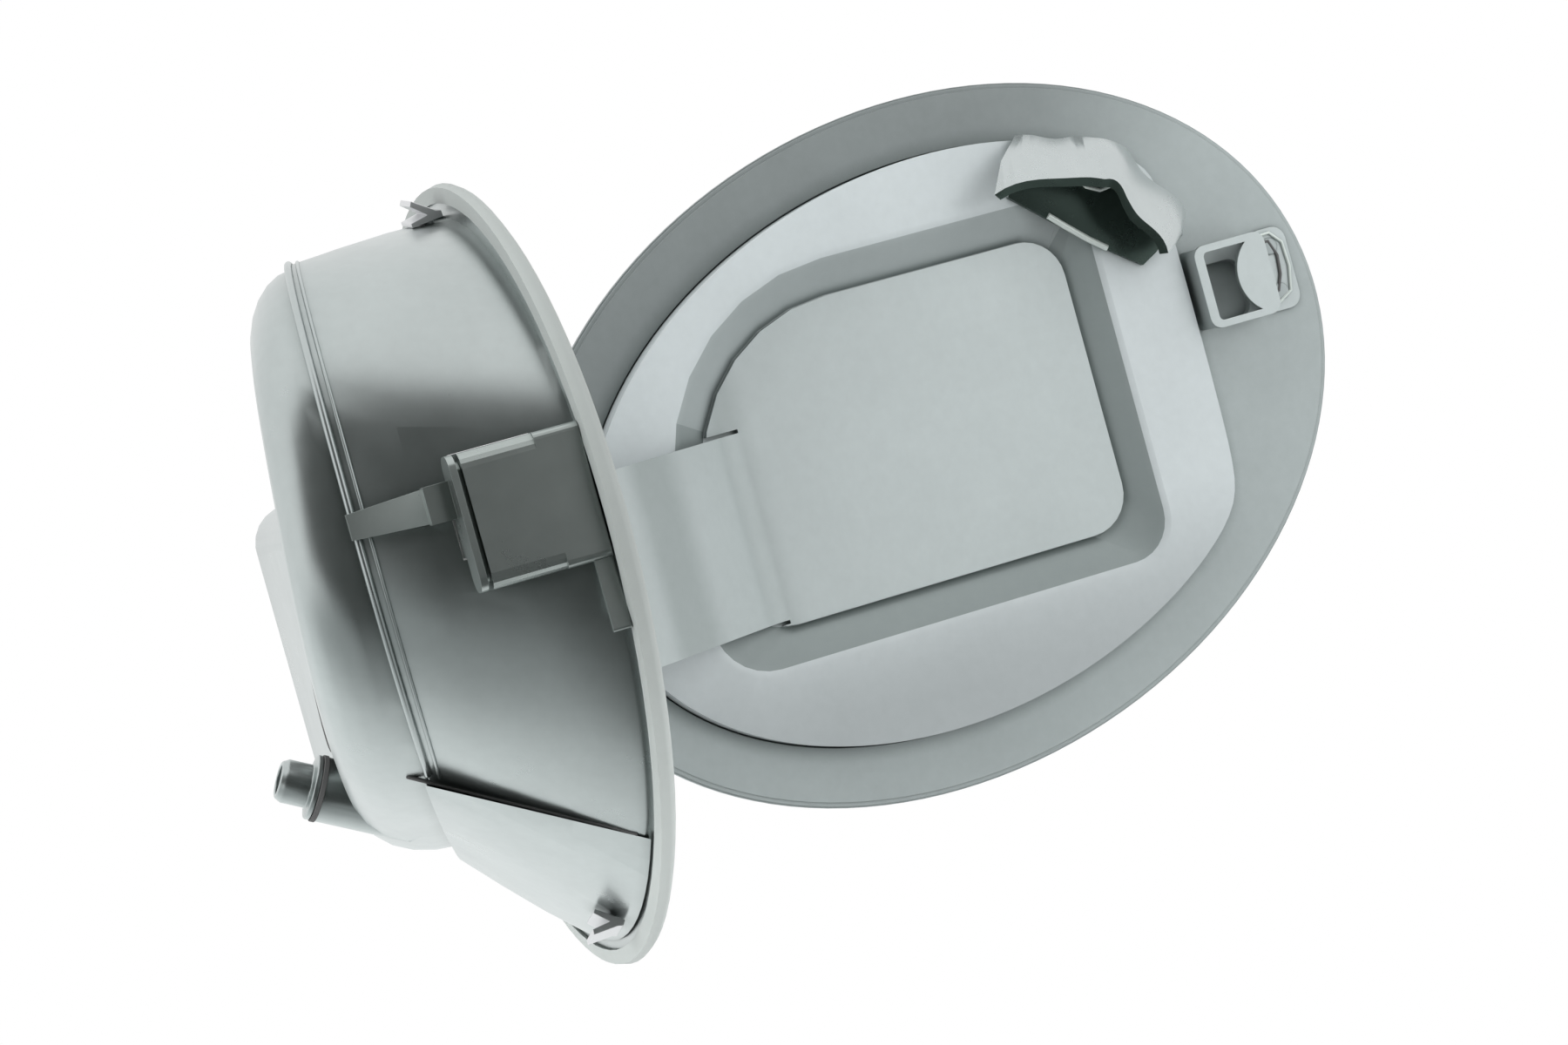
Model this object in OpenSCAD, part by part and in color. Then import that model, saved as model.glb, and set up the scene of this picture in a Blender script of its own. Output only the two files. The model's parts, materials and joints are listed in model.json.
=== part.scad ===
// Car fuel door: an oval flap on a gooseneck arm, hinged in a pocket of a moulded filler bowl.
// Origin at the centre of the bowl's mouth, level with the body panel that it is set in.
// -Y points out of the car, +Y into it, +Z along the hinge pin, +X towards the hinge.
// The flap is drawn open, as far as its arm lets it swing.

/* [Flap] */
// Length of the flap along its long axis
door_len = 190; // [170:1:210]
// Width of the flap across its long axis
door_wide = 140; // [126:1:154]
// Tilt of the long axis out of the hinge plane, in degrees
door_tilt = 13; // [0:1:16]
// Thickness of the flap at its hemmed rim
door_t = 2.8; // [2.4:0.1:4]
// Thickness of the outer skin
skin_t = 0.9; // [0.7:0.1:1.1]
// Width of the flat hemmed rim round the inner panel
hem_w = 13; // [10:0.5:16]
// Opening angle of the flap
open_angle = 94.7; // [80:0.1:96]

/* [Inner panel] */
// Sheet thickness of the inner panel
panel_t = 0.8; // [0.6:0.1:1]
// Height of the panel's land above the hemmed rim
land_rise = 4.3; // [3.8:0.1:5]
// Distance from the flap's middle to the panel's straight edge at the free end
panel_cut = 62.8; // [60:0.2:64]
// Half length of the sunk field, from the middle to the free end
field_end = 43.4; // [43:0.2:46]
// Top of the sunk field above the middle
field_top = 43.2; // [40:0.2:44]
// Bottom of the sunk field below the middle
field_bottom = 36; // [35:0.2:37]
// Far end of the sunk field, towards the hinge
field_back = 60; // [57:0.5:62]
// Width of the field's sloping wall
field_slope = 7.4; // [6:0.2:9]

/* [Hinge arm] */
// Thickness of the arm's strap
arm_t = 1.6; // [1.4:0.1:1.8]
// Width of the strap
arm_w = 40; // [34:1:42]
// Height of the strap's middle line on the hinge pin
arm_z = -7; // [-8:0.5:-5]
// Distance from the flap's middle to the bend where the strap leaves the panel
arm_root = 42; // [38:1:46]
// Rise angle of the strap behind that bend, in degrees
arm_rise = 38; // [34:1:44]
// Depth of the strap's back behind the mouth's plane
arm_depth = 22.5; // [21:0.5:22.5]
// Diameter of the hinge pin
pin_d = 5; // [4:0.5:6]
// Diameter of the rolled eye at the strap's end
eye_d = 11; // [10:0.5:12]
// Distance from the flap's hinge end to the pin
pin_reach = 28; // [25:1:31]
// Depth of the pin behind the mouth's plane
pin_y = 2; // [1:0.5:4]

/* [Filler bowl] */
// How far the flange stays inside the flap's outline at the latch and hinge ends
flange_inset = 2; // [1.5:0.5:3]
// How far the flange stays inside the flap's outline at top and bottom
flange_inset_high = 5; // [4:0.5:6]
// Width of the flange at the latch and hinge ends
flange_w = 6; // [5.5:0.5:7]
// Width of the flange at top and bottom
flange_w_high = 4; // [3.5:0.5:6]
// Thickness of the flange
flange_t = 1.4; // [1.2:0.1:1.6]
// How far the flange's outer face stands out of the mouth's plane
flange_out = 2.6; // [2.4:0.1:2.8]
// Wall thickness of the moulding
wall_t = 2; // [1.6:0.1:2.4]
// Depth of the wall at the latch side, up to the rounded corner
bowl_wall = 34; // [32:1:37]
// Height of the rounded corner between wall and back
bowl_corner = 13; // [10:0.5:14]
// Width of that corner at the latch side
corner_w = 8; // [7:0.5:9]
// Width of that corner at top and bottom
corner_w_high = 12; // [10:0.5:13]
// How much the bowl narrows from mouth to back, on each side
taper_long = 10.5; // [9.5:0.5:12]
// How much the bowl loses in half height from mouth to back
taper_high = 14.5; // [11:0.5:15]
// How far the back stands above the mouth's centre line
back_lift = 9; // [8:0.5:10]
// Fall of the back towards the hinge side, per millimetre
back_fall = 0.17; // [0.12:0.01:0.18]
// Fall of the back towards the top, per millimetre
back_lean = 0.08; // [0.04:0.01:0.1]
// How boxy the back's outline is, above a plain oval
back_boxy = 0.8; // [0.3:0.1:1.2]
// Step where the wall meets the back's rounded corner
crease_step = 0.7; // [0.3:0.1:1]
// How far the back end of the drain trough stands out of the lower wall
trough_rise = 2.4; // [1.8:0.1:2.6]
// Depth of the hinge pocket behind the mouth's plane
pocket_depth = 25.5; // [25:0.5:29]
// Width of the flange strip round the hinge pocket
ear_w = 7; // [6:0.5:9]

/* [Seal and rubber] */
// Height of the seal above the mouth's plane
seal_h = 4; // [3.5:0.1:4.5]
// Gap between the closed flap's rim and the seal
door_gap = 1.5; // [1.2:0.1:1.8]
// Bore radius of the neck grommet
neck_r = 22; // [18:0.5:22.5]
// Length of the grommet's sleeve inside the bowl
sleeve_len = 9; // [6:0.5:12]

/* [Drain] */
// Outside radius of the drain boss
drain_r = 5.5; // [5:0.1:6.5]
// Outside radius of the hose stub
stub_r = 3.7; // [3.5:0.1:4]
// Length of the hose stub
stub_len = 5.6; // [5:0.2:12]
// Angle of the drain out of the bowl's axis, in degrees
drain_angle = 29; // [22:1:34]

/* [Lock] */
// Distance from the bowl's middle to the lock plunger
lock_x = 70.5; // [70:0.5:71]
// Height of the lock plunger
lock_z = 14; // [13.5:0.5:15]
// Travel of the lock plunger
lock_travel = 4; // [3.5:0.1:4]
// Radius of the lock plunger
plunger_r = 3.5; // [3.4:0.1:3.8]
// Running clearance of the plunger in its housing, on the radius
plunger_fit = 0.08; // [0.05:0.01:0.1]
// Width of the lock housing along the wall
lock_box_z = 21; // [19:0.5:22]
// Depth of the lock housing behind the mouth's plane
lock_box_y = 18; // [18:0.5:20]
// Outer face of the lock housing, from the bowl's middle
lock_face_x = 89; // [88:0.5:90]

/* [Hidden] */
$fn = 48;
eps = 0.01;
// Air between pieces that rest on each other
seat = 0.05;
// Running clearance on a radius
run_fit = 0.04;

// Points round the bowl's ovals and round the flap's
oval_n = 84;
flap_n = 132;
// Places of the flap
door_a = door_len / 2;
door_b = door_wide / 2;
hem_y = -(seal_h + door_gap);
outer_y = hem_y - door_t;
skin_in_y = outer_y + skin_t;
land_y = hem_y + land_rise;
floor_y = skin_in_y + seat + panel_t;
plate_y = floor_y + seat + arm_t;
// Places of the hinge
pin_x = door_a + pin_reach;
pin_r = pin_d / 2;
eye_r = eye_d / 2;
bush_t = 1;
bush_flange = 0.8;
arm_z0 = arm_z - arm_w / 2;
arm_z1 = arm_z + arm_w / 2;
spring_wire = 0.6;
spring_turns = 3;
spring_room = 2 * spring_wire * (spring_turns + 1) + 3;
pocket_z0 = arm_z0 - bush_flange - 0.3 - seat;
pocket_z1 = arm_z1 + bush_flange + seat + spring_room;
pocket_x1 = pin_x + eye_r + 4;
// Places of the bowl
flange_a = door_a - flange_inset;
flange_b = door_b - flange_inset_high;
flange_y0 = -flange_out;
flange_y1 = flange_y0 + flange_t;
wall_a = flange_a - flange_w;
wall_b = flange_b - flange_w_high;
back_a = wall_a - taper_long;
back_b = wall_b - taper_high;
back_tilt = atan(back_fall);
lean_tilt = atan(back_lean);
neck_hole_r = neck_r + 3;
// Places of the lock
plate_gap = 1;
striker_y0 = land_y + 2.5;
striker_t = 1.2;
head_tip_y = hem_y - 0.5;
head_t = 1.8;
neck_rod_r = 1.8;
plunger_face_y = striker_y0 + striker_t + 0.5;
lock_y0 = plunger_face_y + 2.4 + seat;
rod_grip = 2;
lock_in_y = plunger_face_y + rod_grip + lock_travel + 1.5;
lock_z0 = lock_z - lock_box_z / 2;
lock_z1 = lock_z + lock_box_z / 2;
lock_in_x = lock_x - plunger_r - 4.5;
plunger_len = 10.5;
plunger_floor = 4;
plunger_bore_r = plunger_r - 0.6;
cap_t = 1.8;
// Place of the drain
drain_wall = 2;
drain_start = [0, 29.5, -29.8];
drain_len = 12.5;
washer_t = 0.9;
collar_t = 1;

// A point on an oval whose long axis rises towards the latch side, in the XZ plane.
// square_off above 2 makes the oval boxier.
function oval_point(a, b, t, square_off = 2) =
    let (
        e = 2 / square_off,
        p = -a * sign(cos(t)) * pow(abs(cos(t)), e),
        q = b * sign(sin(t)) * pow(abs(sin(t)), e)
    )
    [p * cos(door_tilt) + q * sin(door_tilt), -p * sin(door_tilt) + q * cos(door_tilt)];

function oval(a, b, square_off = 2, n = oval_n) =
    [for (i = [0:n - 1]) oval_point(a, b, i * 360 / n, square_off)];

// Direction straight out of an oval at the angle t, in degrees from +X towards +Z
function oval_out(a, b, t) = atan2(a * sin(t), -b * cos(t)) - door_tilt;

// Depth of the slanted back on its outer side
function back_y(x, z) = bowl_wall + bowl_corner - back_fall * (x + back_a) - back_lean * z;

// One ring of the bowl: f runs from 0 at the mouth to 1 at the corner, j turns the corner in degrees.
// thick moves the ring inwards to make the inner surface.
function bowl_ring(f, j, thick) =
    let (
        turn = 1 - cos(j),
        step = thick == 0 && j > 0 ? crease_step : 0,
        inset = thick + step + (corner_w - thick - step) * turn,
        inset_high = thick + step + (corner_w_high - thick - step) * turn,
        boxy = 2 + back_boxy * f,
        ring = oval(wall_a - taper_long * f - inset, wall_b - taper_high * f - inset_high, boxy)
    )
    [for (p = ring)
        let (z = p[1] + back_lift * f)
        [p[0], bowl_wall * f - back_fall * f * (p[0] + back_a) + (bowl_corner - thick - back_lean * z) * sin(j), z]];

// A closed solid over rings of points, each turning by the right hand round the way to the next.
// Strips close both ends, so an end may be U shaped.
module skin(rings) {
    n = len(rings[0]);
    m = len(rings);
    pts = [for (r = rings) for (p = r) p];
    sides = [for (k = [0:m - 2]) for (i = [0:n - 1])
        let (a = k * n + i, b = k * n + (i + 1) % n, c = (k + 1) * n)
        each [[a, c + (i + 1) % n, b], [a, c + i, c + (i + 1) % n]]];
    first = [for (i = [0:n / 2 - 2])
        each [[n - 1 - i, i + 1, n - 2 - i], [n - 1 - i, i, i + 1]]];
    last = [for (i = [0:n / 2 - 2]) let (s = (m - 1) * n)
        each [[s + i, s + n - 2 - i, s + i + 1], [s + i, s + n - 1 - i, s + n - 2 - i]]];
    polyhedron(pts, concat(sides, first, last));
}

// A plate in the XZ plane, from y0 to y1
module plate(points, y0, y1) {
    translate([0, y1, 0])
        rotate([90, 0, 0])
            linear_extrude(y1 - y0)
                polygon(points);
}

// A box between two corners
module box(low, high) {
    translate(low)
        cube(high - low);
}

// A cylinder along Y
module rod_y(x, z, r, y0, y1) {
    translate([x, y1, z])
        rotate([90, 0, 0])
            cylinder(r = r, h = y1 - y0);
}

// A cylinder along the hinge pin
module rod_z(r, z0, z1) {
    translate([pin_x, pin_y, z0])
        cylinder(r = r, h = z1 - z0);
}

// A rectangle with round corners, as points
function round_rect(x0, z0, x1, z1, r, steps = 5) =
    [for (c = [[x1 - r, z1 - r, 0], [x0 + r, z1 - r, 90], [x0 + r, z0 + r, 180], [x1 - r, z0 + r, 270]])
        for (i = [0:steps]) let (t = c[2] + i * 90 / steps) [c[0] + r * cos(t), c[1] + r * sin(t)]];

// A round wire along points, with a flat end at each side
function wire_rings(path, r, sides = 8) =
    [for (k = [0:len(path) - 1])
        let (
            d = path[min(k + 1, len(path) - 1)] - path[max(k - 1, 0)],
            t = d / norm(d),
            side = cross(t, [0.3, 0.2, 1]),
            u = side / norm(side),
            v = cross(t, u)
        )
        [for (i = [0:sides - 1]) path[k] + r * (u * cos(i * 360 / sides) + v * sin(i * 360 / sides))]];

// Puts a piece that is drawn on the closed flap into its open place
module on_flap() {
    translate([pin_x, pin_y, 0])
        rotate([0, 0, open_angle])
            translate([-pin_x, -pin_y, 0])
                children();
}

// Filler bowl

module bowl_shell(thick) {
    levels = [for (f = [0, 0.35, 0.7, 1]) [f, 0]];
    corner = [for (j = [1, 15, 30, 45, 60, 75, 90]) [1, j]];
    rings = [for (l = concat(levels, corner)) bowl_ring(l[0], l[1], thick)];
    mouth = [for (p = rings[0]) [p[0], flange_y0 - (thick > 0 ? 1 : 0), p[2]]];
    skin(concat([mouth], rings));
}

// Hinge pocket, grown by g and starting at y_low. It reaches back into the bowl so that the strap passes.
module pocket(g, y_low) {
    x0 = back_a - 12 - g;
    x1 = pocket_x1 + g;
    y1 = pocket_depth - wall_t + g;
    z0 = pocket_z0 - g;
    z1 = pocket_z1 + g;
    far_r = 7 + g;
    top_r = 7 + g;
    low_r = 2 + g;
    intersection() {
        translate([0, 0, z0])
            linear_extrude(z1 - z0)
                polygon(concat(
                    [[x0, 6], [wall_a - 10, y_low], [x1, y_low]],
                    arc(x1 - far_r, y1 - far_r, far_r, 0, 90),
                    arc(x0 + 5, y1 - 5, 5, 90, 180)
                ));
        translate([x0, 0, 0])
            rotate([90, 0, 90])
                linear_extrude(x1 - x0)
                    polygon(concat(
                        [[y_low, z1], [y_low, z0]],
                        arc(y1 - low_r, z0 + low_r, low_r, -90, 0),
                        arc(y1 - top_r, z1 - top_r, top_r, 0, 90)
                    ));
    }
}

module drain_frame() {
    translate(drain_start)
        rotate([drain_angle - 90, 0, 0])
            children();
}

// Ledge that carries a rubber buffer, at angle t round the mouth
function ledge_point(t) = oval_point(wall_a - wall_t - 5, wall_b - wall_t - 5, t);

module filler_bowl() {
    ear_x1 = pocket_x1 + wall_t + ear_w - 2;
    color([0.33, 0.36, 0.35])
        difference() {
            union() {
                bowl_shell(0);
                drain_trough();
                top_ledge();
                plate(oval(flange_a, flange_b, n = flap_n), flange_y0, flange_y1);
                plate(round_rect(flange_a - 32, pocket_z0 - ear_w, ear_x1, pocket_z1 + ear_w, 6), flange_y0, flange_y1);
                pocket(wall_t, flange_y0);
                drain_frame()
                    translate([0, 0, -4])
                        cylinder(r = drain_r, h = drain_len + 4);
            }
            difference() {
                bowl_shell(wall_t);
                buffer_ledges();
            }
            pocket(0, flange_y0 - 1);
            neck_frame(-12)
                cylinder(r = neck_hole_r, h = 24);
            drain_frame()
                translate([0, 0, -5])
                    cylinder(r = drain_r - drain_wall, h = drain_len + 6);
            rod_z(pin_r + 0.02, pocket_z0 - wall_t - 1, pocket_z1 + wall_t + 1);
            rod_z(pin_r + 2.5, pocket_z0 - wall_t - 3, pocket_z0 - wall_t);
            rod_z(pin_r + 2.5, pocket_z1 + wall_t, pocket_z1 + wall_t + 2.4);
            lock_window();
            for (b = [buffer_low, buffer_high])
                rod_y(ledge_point(b[0])[0], ledge_point(b[0])[1], buffer_stem_r + run_fit, b[1] - 1, b[1] + ledge_t + 1);
            for (c = clip_spots)
                clip_frame(c)
                    translate([0, 0, -wall_t - 4])
                        cylinder(r = clip_pin_r + run_fit, h = wall_t + 6);
            rod_y(fix_hole[0], fix_hole[1], fix_hole_r, back_y(fix_hole[0], fix_hole[1]) - 12, pocket_depth + 5);
        }
}

// Frame of the neck hole, with its Z along the hole, out of the back
module neck_frame(along) {
    neck_x = -2;
    neck_z = back_lift;
    translate([neck_x, back_y(neck_x, neck_z), neck_z])
        rotate([lean_tilt, 0, -back_tilt])
            rotate([-90, 0, 0])
                translate([0, 0, along])
                    children();
}

// Screw hole that holds the bowl to the car
fix_hole_r = 2.6;
fix_hole = [52, 16];

// Rise of the trough over the wall at the part f of the way to the corner
function trough_at(f) = 0.3 + (trough_rise - 0.3) * f;

// Trough along the lower wall, which leads water to the drain
module drain_trough() {
    trough_end = 1.03;
    intersection() {
        skin([for (f = [-0.03, 0.35, 0.7, trough_end]) bowl_ring(f, 0, -trough_at(f))]);
        translate([-wall_a - 5, 0, 0])
            rotate([90, 0, 90])
                linear_extrude(wall_a + 60)
                    polygon([[flange_y1 - 0.3, -42.5], [bowl_wall + 9, -17.2], [bowl_wall + 9, -90],
                        [flange_y1 - 0.3, -90]]);
    }
}

// Flat ledge on the crown of the wall
module top_ledge() {
    translate([-24, 0, 0])
        rotate([90, 0, 90])
            linear_extrude(20)
                polygon([[flange_y1 - 0.3, 57], [flange_y1 - 0.3, 62.5], [26.5, 59.8], [27.5, 58.9], [27.5, 54],
                    [22, 54]]);
}

module lock_window() {
    box([-lock_face_x - 3, lock_y0 - seat, lock_z0 - seat], [-lock_in_x + seat, lock_box_y + seat, lock_z1 + seat]);
    box([-lock_face_x + 2.7, lock_box_y, lock_z - 5.3], [-lock_in_x + 1, lock_box_y + cap_t + 0.3, lock_z + 5.3]);
}

// Rubber buffers
// Each as [angle round the mouth, depth of its ledge, height of the flap's face above it]
buffer_low = [-26, 0, -hem_y];
buffer_high = [80, 3, 3 - land_y];
buffer_r = 4;
buffer_stem_r = 2;
ledge_t = 1.6;

module buffer_ledges() {
    for (b = [buffer_low, buffer_high])
        rod_y(ledge_point(b[0])[0], ledge_point(b[0])[1], 5.5, b[1], b[1] + ledge_t);
}

module buffer(b) {
    p = ledge_point(b[0]);
    top = b[2] - 0.3;
    color([0.12, 0.12, 0.12])
        translate([p[0], b[1], p[1]])
            rotate([90, 0, 0])
                rotate_extrude()
                    polygon([[0, -ledge_t - 1.6], [buffer_stem_r - 0.7, -ledge_t - 1.6],
                        [buffer_stem_r + 0.5, -ledge_t - 0.3], [buffer_stem_r, -ledge_t - seat],
                        [buffer_stem_r, seat], [buffer_r, seat], [buffer_r, 1.2],
                        [buffer_r - 1, 0.8 * top], [buffer_r - 2, top], [0, top]]);
}

module buffer_upper() {
    buffer(buffer_high);
}

module buffer_lower() {
    buffer(buffer_low);
}

// Flange seal: a soft lip that grips the flange's edge and stops at each side of the hinge pocket
seal_from = 199;
seal_to = 494;
seal_steps = 72;

// Outline of the lip: over its outside, then back along the flange, each point across from its partner
function seal_profile() =
    let (f = flange_y0, b = flange_y1, h = seal_h + f)
    [[-4.7, f - 0.5 * h], [-3.8, f - 0.88 * h], [-2.2, f - h], [-0.6, f - 0.88 * h], [0.8, f - 0.4 * h],
        [1.4, f + 0.3], [1, b + 0.3], [-1.6, b + 0.6],
        [-1.6, b + seat], [0.1, b + seat], [0.1, (f + b) / 2], [0.1, f - seat], [-1.2, f - seat],
        [-2.4, f - seat], [-3.8, f - seat], [-5, f - seat]];

module flange_seal() {
    color([0.62, 0.65, 0.64])
        skin([for (k = [0:seal_steps])
            let (t = seal_to + (seal_from - seal_to) * k / seal_steps)
            [for (q = seal_profile())
                let (p = oval_point(flange_a + q[0], flange_b + q[0], t))
                [p[0], q[1], p[1]]]]);
}

// Neck grommet: a rubber ring that grips the hole in the back, with a sleeve for the filler neck
module neck_grommet() {
    lip = 3;
    lip_t = 1.6;
    color([0.1, 0.1, 0.1])
        neck_frame(0)
            rotate_extrude($fn = 96)
                polygon([[neck_r, lip_t - 0.4], [neck_r + 0.6, lip_t], [neck_hole_r + lip - 0.6, lip_t],
                    [neck_hole_r + lip, seat], [neck_hole_r - seat, seat],
                    [neck_hole_r - seat, -wall_t - seat], [neck_hole_r + lip, -wall_t - seat],
                    [neck_hole_r + lip - 1, -wall_t - lip_t], [neck_r + 1.4, -wall_t - lip_t],
                    [neck_r + 1.2, -sleeve_len], [neck_r, -sleeve_len]]);
}

// Drain

module drain_nozzle() {
    spigot = 7;
    bore = stub_r - 1.2;
    color([0.5, 0.53, 0.52])
        drain_frame()
            translate([0, 0, drain_len])
                rotate_extrude()
                    polygon([[bore, -spigot], [drain_r - drain_wall - run_fit, -spigot],
                        [drain_r - drain_wall - run_fit, washer_t + seat], [drain_r, washer_t + seat],
                        [drain_r, washer_t + collar_t], [stub_r, washer_t + collar_t + 0.3],
                        [stub_r, washer_t + collar_t + stub_len - 1.2],
                        [stub_r - 0.6, washer_t + collar_t + stub_len], [bore, washer_t + collar_t + stub_len]]);
}

module drain_washer() {
    color([0.1, 0.1, 0.1])
        drain_frame()
            translate([0, 0, drain_len + seat / 2])
                rotate_extrude()
                    translate([drain_r - drain_wall, 0])
                        square([drain_wall + 0.2, washer_t]);
}

// Lock

module lock_housing() {
    color([0.3, 0.32, 0.31])
        difference() {
            union() {
                plate(round_rect(-lock_face_x, lock_z0, -lock_in_x, lock_z1, 2.5), lock_in_y, lock_box_y);
                plate(round_rect(-lock_face_x, lock_z0, -lock_face_x + 6.5, lock_z1, 2.5), lock_y0, lock_in_y + 1);
                plate(round_rect(-lock_face_x, lock_z0, -wall_a + 0.8, lock_z1, 1.2), step_y, lock_y0 + 1);
                plate(round_rect(-lock_face_x + 1, lock_z0 - 11, -wall_a + 0.8, lock_z0 + 3, 0.5),
                    step_y, step_y + 2.8);
            }
            lock_seat();
            rod_y(-lock_x, lock_z, plunger_r + plunger_fit, lock_in_y - 1, lock_box_y + 1);
        }
}

step_y = flange_y1 + 0.7;

// Clearance for the bowl's wall below the window
module lock_seat() {
    box([-wall_a + 0.1, step_y - 1, lock_z0 - 14], [-wall_a + 20, step_y + 6, lock_z0 - seat]);
}

// Inboard end plate of the housing, with the long finger that lies along the wall
module lock_cap() {
    y0 = lock_box_y + seat;
    y1 = bowl_wall + 1;
    finger_z = lock_z + 4;
    wall_x = -wall_a + taper_long * lock_box_y / bowl_wall;
    far_x = -wall_a + taper_long - 0.4;
    color([0.36, 0.39, 0.38])
        union() {
            plate(round_rect(-lock_face_x, lock_z0, wall_x - 1, lock_z1, 2.5), y0 + 0.7, y0 + cap_t);
            plate(round_rect(-lock_face_x + 1.2, lock_z0 + 1.2, wall_x - 1.4, lock_z1 - 1.2, 2), y0, y0 + 1);
            plate(round_rect(-lock_face_x + 3, lock_z - 5, -lock_x + 5, lock_z + 5, 1), y0, y0 + cap_t);
            hull() {
                box([wall_x - 2.6, y0 + cap_t - 0.5, finger_z - 2.9], [wall_x - 0.6, y0 + cap_t, finger_z + 2.9]);
                box([far_x - 1, y1 - 1, finger_z - 2], [far_x, y1, finger_z + 2]);
            }
            box([wall_x - 3.2, y0 + cap_t - 0.5, finger_z - 2.9], [wall_x - 0.9, y0 + cap_t + 4, finger_z + 2.9]);
        }
}

module lock_spring() {
    y0 = plunger_face_y + plunger_floor + lock_travel + 0.15;
    y1 = lock_box_y + seat - 0.1;
    coil_r = plunger_bore_r - 0.6;
    turns = 6;
    steps = 12;
    wire = 0.25;
    color([0.6, 0.6, 0.62])
        skin(wire_rings([for (k = [0:turns * steps])
            let (t = k * 360 / steps)
            [-lock_x + coil_r * cos(t), y0 + wire + (y1 - y0 - 2 * wire) * k / (turns * steps), lock_z + coil_r * sin(t)]],
            wire, 6));
}

module lock_plunger() {
    color([0.75, 0.76, 0.76])
        difference() {
            rod_y(-lock_x, lock_z, plunger_r, plunger_face_y, plunger_face_y + plunger_len);
            rod_y(-lock_x, lock_z, neck_rod_r + run_fit, plunger_face_y - 1, plunger_face_y + rod_grip + seat);
            rod_y(-lock_x, lock_z, plunger_bore_r, plunger_face_y + plunger_floor, plunger_face_y + plunger_len + 1);
        }
}

// Cross-shaped head that turns behind the striker plate
module lock_head() {
    color([0.8, 0.8, 0.8])
        union() {
            rod_y(-lock_x, lock_z, neck_rod_r, head_tip_y + head_t / 2, plunger_face_y + rod_grip);
            plate(round_rect(-lock_x - neck_rod_r, lock_z - 4.2, -lock_x + neck_rod_r, lock_z + 4.2, 1.2),
                head_tip_y, head_tip_y + head_t);
        }
}

// Hinge

module hinge_pin() {
    color([0.7, 0.71, 0.72])
        union() {
            rod_z(pin_r, pocket_z0 - wall_t - 2.2, pocket_z1 + wall_t + seat);
            rod_z(pin_r + 1.6, pocket_z1 + wall_t + seat, pocket_z1 + wall_t + 1.8);
        }
}

// Spring clip on the pin's lower end
module pin_clip() {
    z1 = pocket_z0 - wall_t - seat;
    color([0.4, 0.41, 0.42])
        difference() {
            rod_z(pin_r + 2.2, z1 - 0.8, z1);
            rod_z(pin_r + run_fit, z1 - 2, z1 + 1);
            translate([pin_x - 1.4, pin_y, z1 - 2])
                cube([2.8, 8, 4]);
        }
}

module hinge_spring() {
    coil_r = pin_r + spring_wire + 0.7;
    z0 = arm_z1 + bush_flange + seat + spring_wire + 0.2;
    pitch = 2 * spring_wire + 0.25;
    steps = 16;
    turn0 = 90;
    coil = [for (k = [0:spring_turns * steps])
        let (t = turn0 + k * 360 / steps)
        [pin_x + coil_r * cos(t), pin_y + coil_r * sin(t), z0 + pitch * k / steps]];
    leg = [pin_x + eye_r + 2, pin_y + coil_r, z0 - 0.3];
    tail = [pin_x - 10, pin_y + coil_r, z0 + pitch * spring_turns + 0.3];
    color([0.55, 0.56, 0.58])
        skin(wire_rings(concat([leg], coil, [tail]), spring_wire));
}

module bush(z_end, up) {
    color([0.85, 0.85, 0.8])
        translate([pin_x, pin_y, z_end])
            rotate([up ? 0 : 180, 0, 0])
                rotate_extrude()
                    polygon([[pin_r + run_fit, bush_flange], [eye_r - 0.4, bush_flange], [eye_r - 0.4, seat],
                        [pin_r + bush_t, seat], [pin_r + bush_t, -8], [pin_r + run_fit, -8]]);
}

module bush_upper() {
    on_flap() bush(arm_z1, true);
}

module bush_lower() {
    on_flap() bush(arm_z0, false);
}

// Middle line of the strap on the closed flap, as [x, y] points from the flap's middle to the pin
bend_r = 9;
crest_r = 12;
fall_r = 6;
strap_y0 = plate_y - arm_t / 2;
crest_y = arm_depth - arm_t / 2;
fall_x = pin_x - arm_t / 2 - 0.3;

function arc(cx, cy, r, t0, t1, steps = 6) =
    [for (i = [0:steps]) let (t = t0 + (t1 - t0) * i / steps) [cx + r * cos(t), cy + r * sin(t)]];

function strap_line() =
    let (
        rise0 = strap_y0 + bend_r * (1 - cos(arm_rise)),
        rise1 = crest_y - crest_r * (1 - cos(arm_rise)),
        x1 = arm_root + bend_r * sin(arm_rise),
        x2 = x1 + (rise1 - rise0) / tan(arm_rise),
        x3 = x2 + crest_r * sin(arm_rise)
    )
    concat(
        arc(arm_root, strap_y0 + bend_r, bend_r, -90, -90 + arm_rise),
        arc(x3, crest_y - crest_r, crest_r, 90 + arm_rise, 90),
        arc(fall_x - fall_r, crest_y - fall_r, fall_r, 90, 0),
        [[fall_x, pin_y + eye_r - 1]]
    );

// Both sides of a line of points, as a closed outline of thickness t
function strap_outline(path, t) =
    let (
        n = len(path),
        normals = [for (k = [0:n - 1])
            let (d = path[min(k + 1, n - 1)] - path[max(k - 1, 0)])
            [-d[1], d[0]] / norm(d)]
    )
    concat([for (k = [0:n - 1]) path[k] + normals[k] * t / 2],
        [for (k = [n - 1:-1:0]) path[k] - normals[k] * t / 2]);

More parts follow.
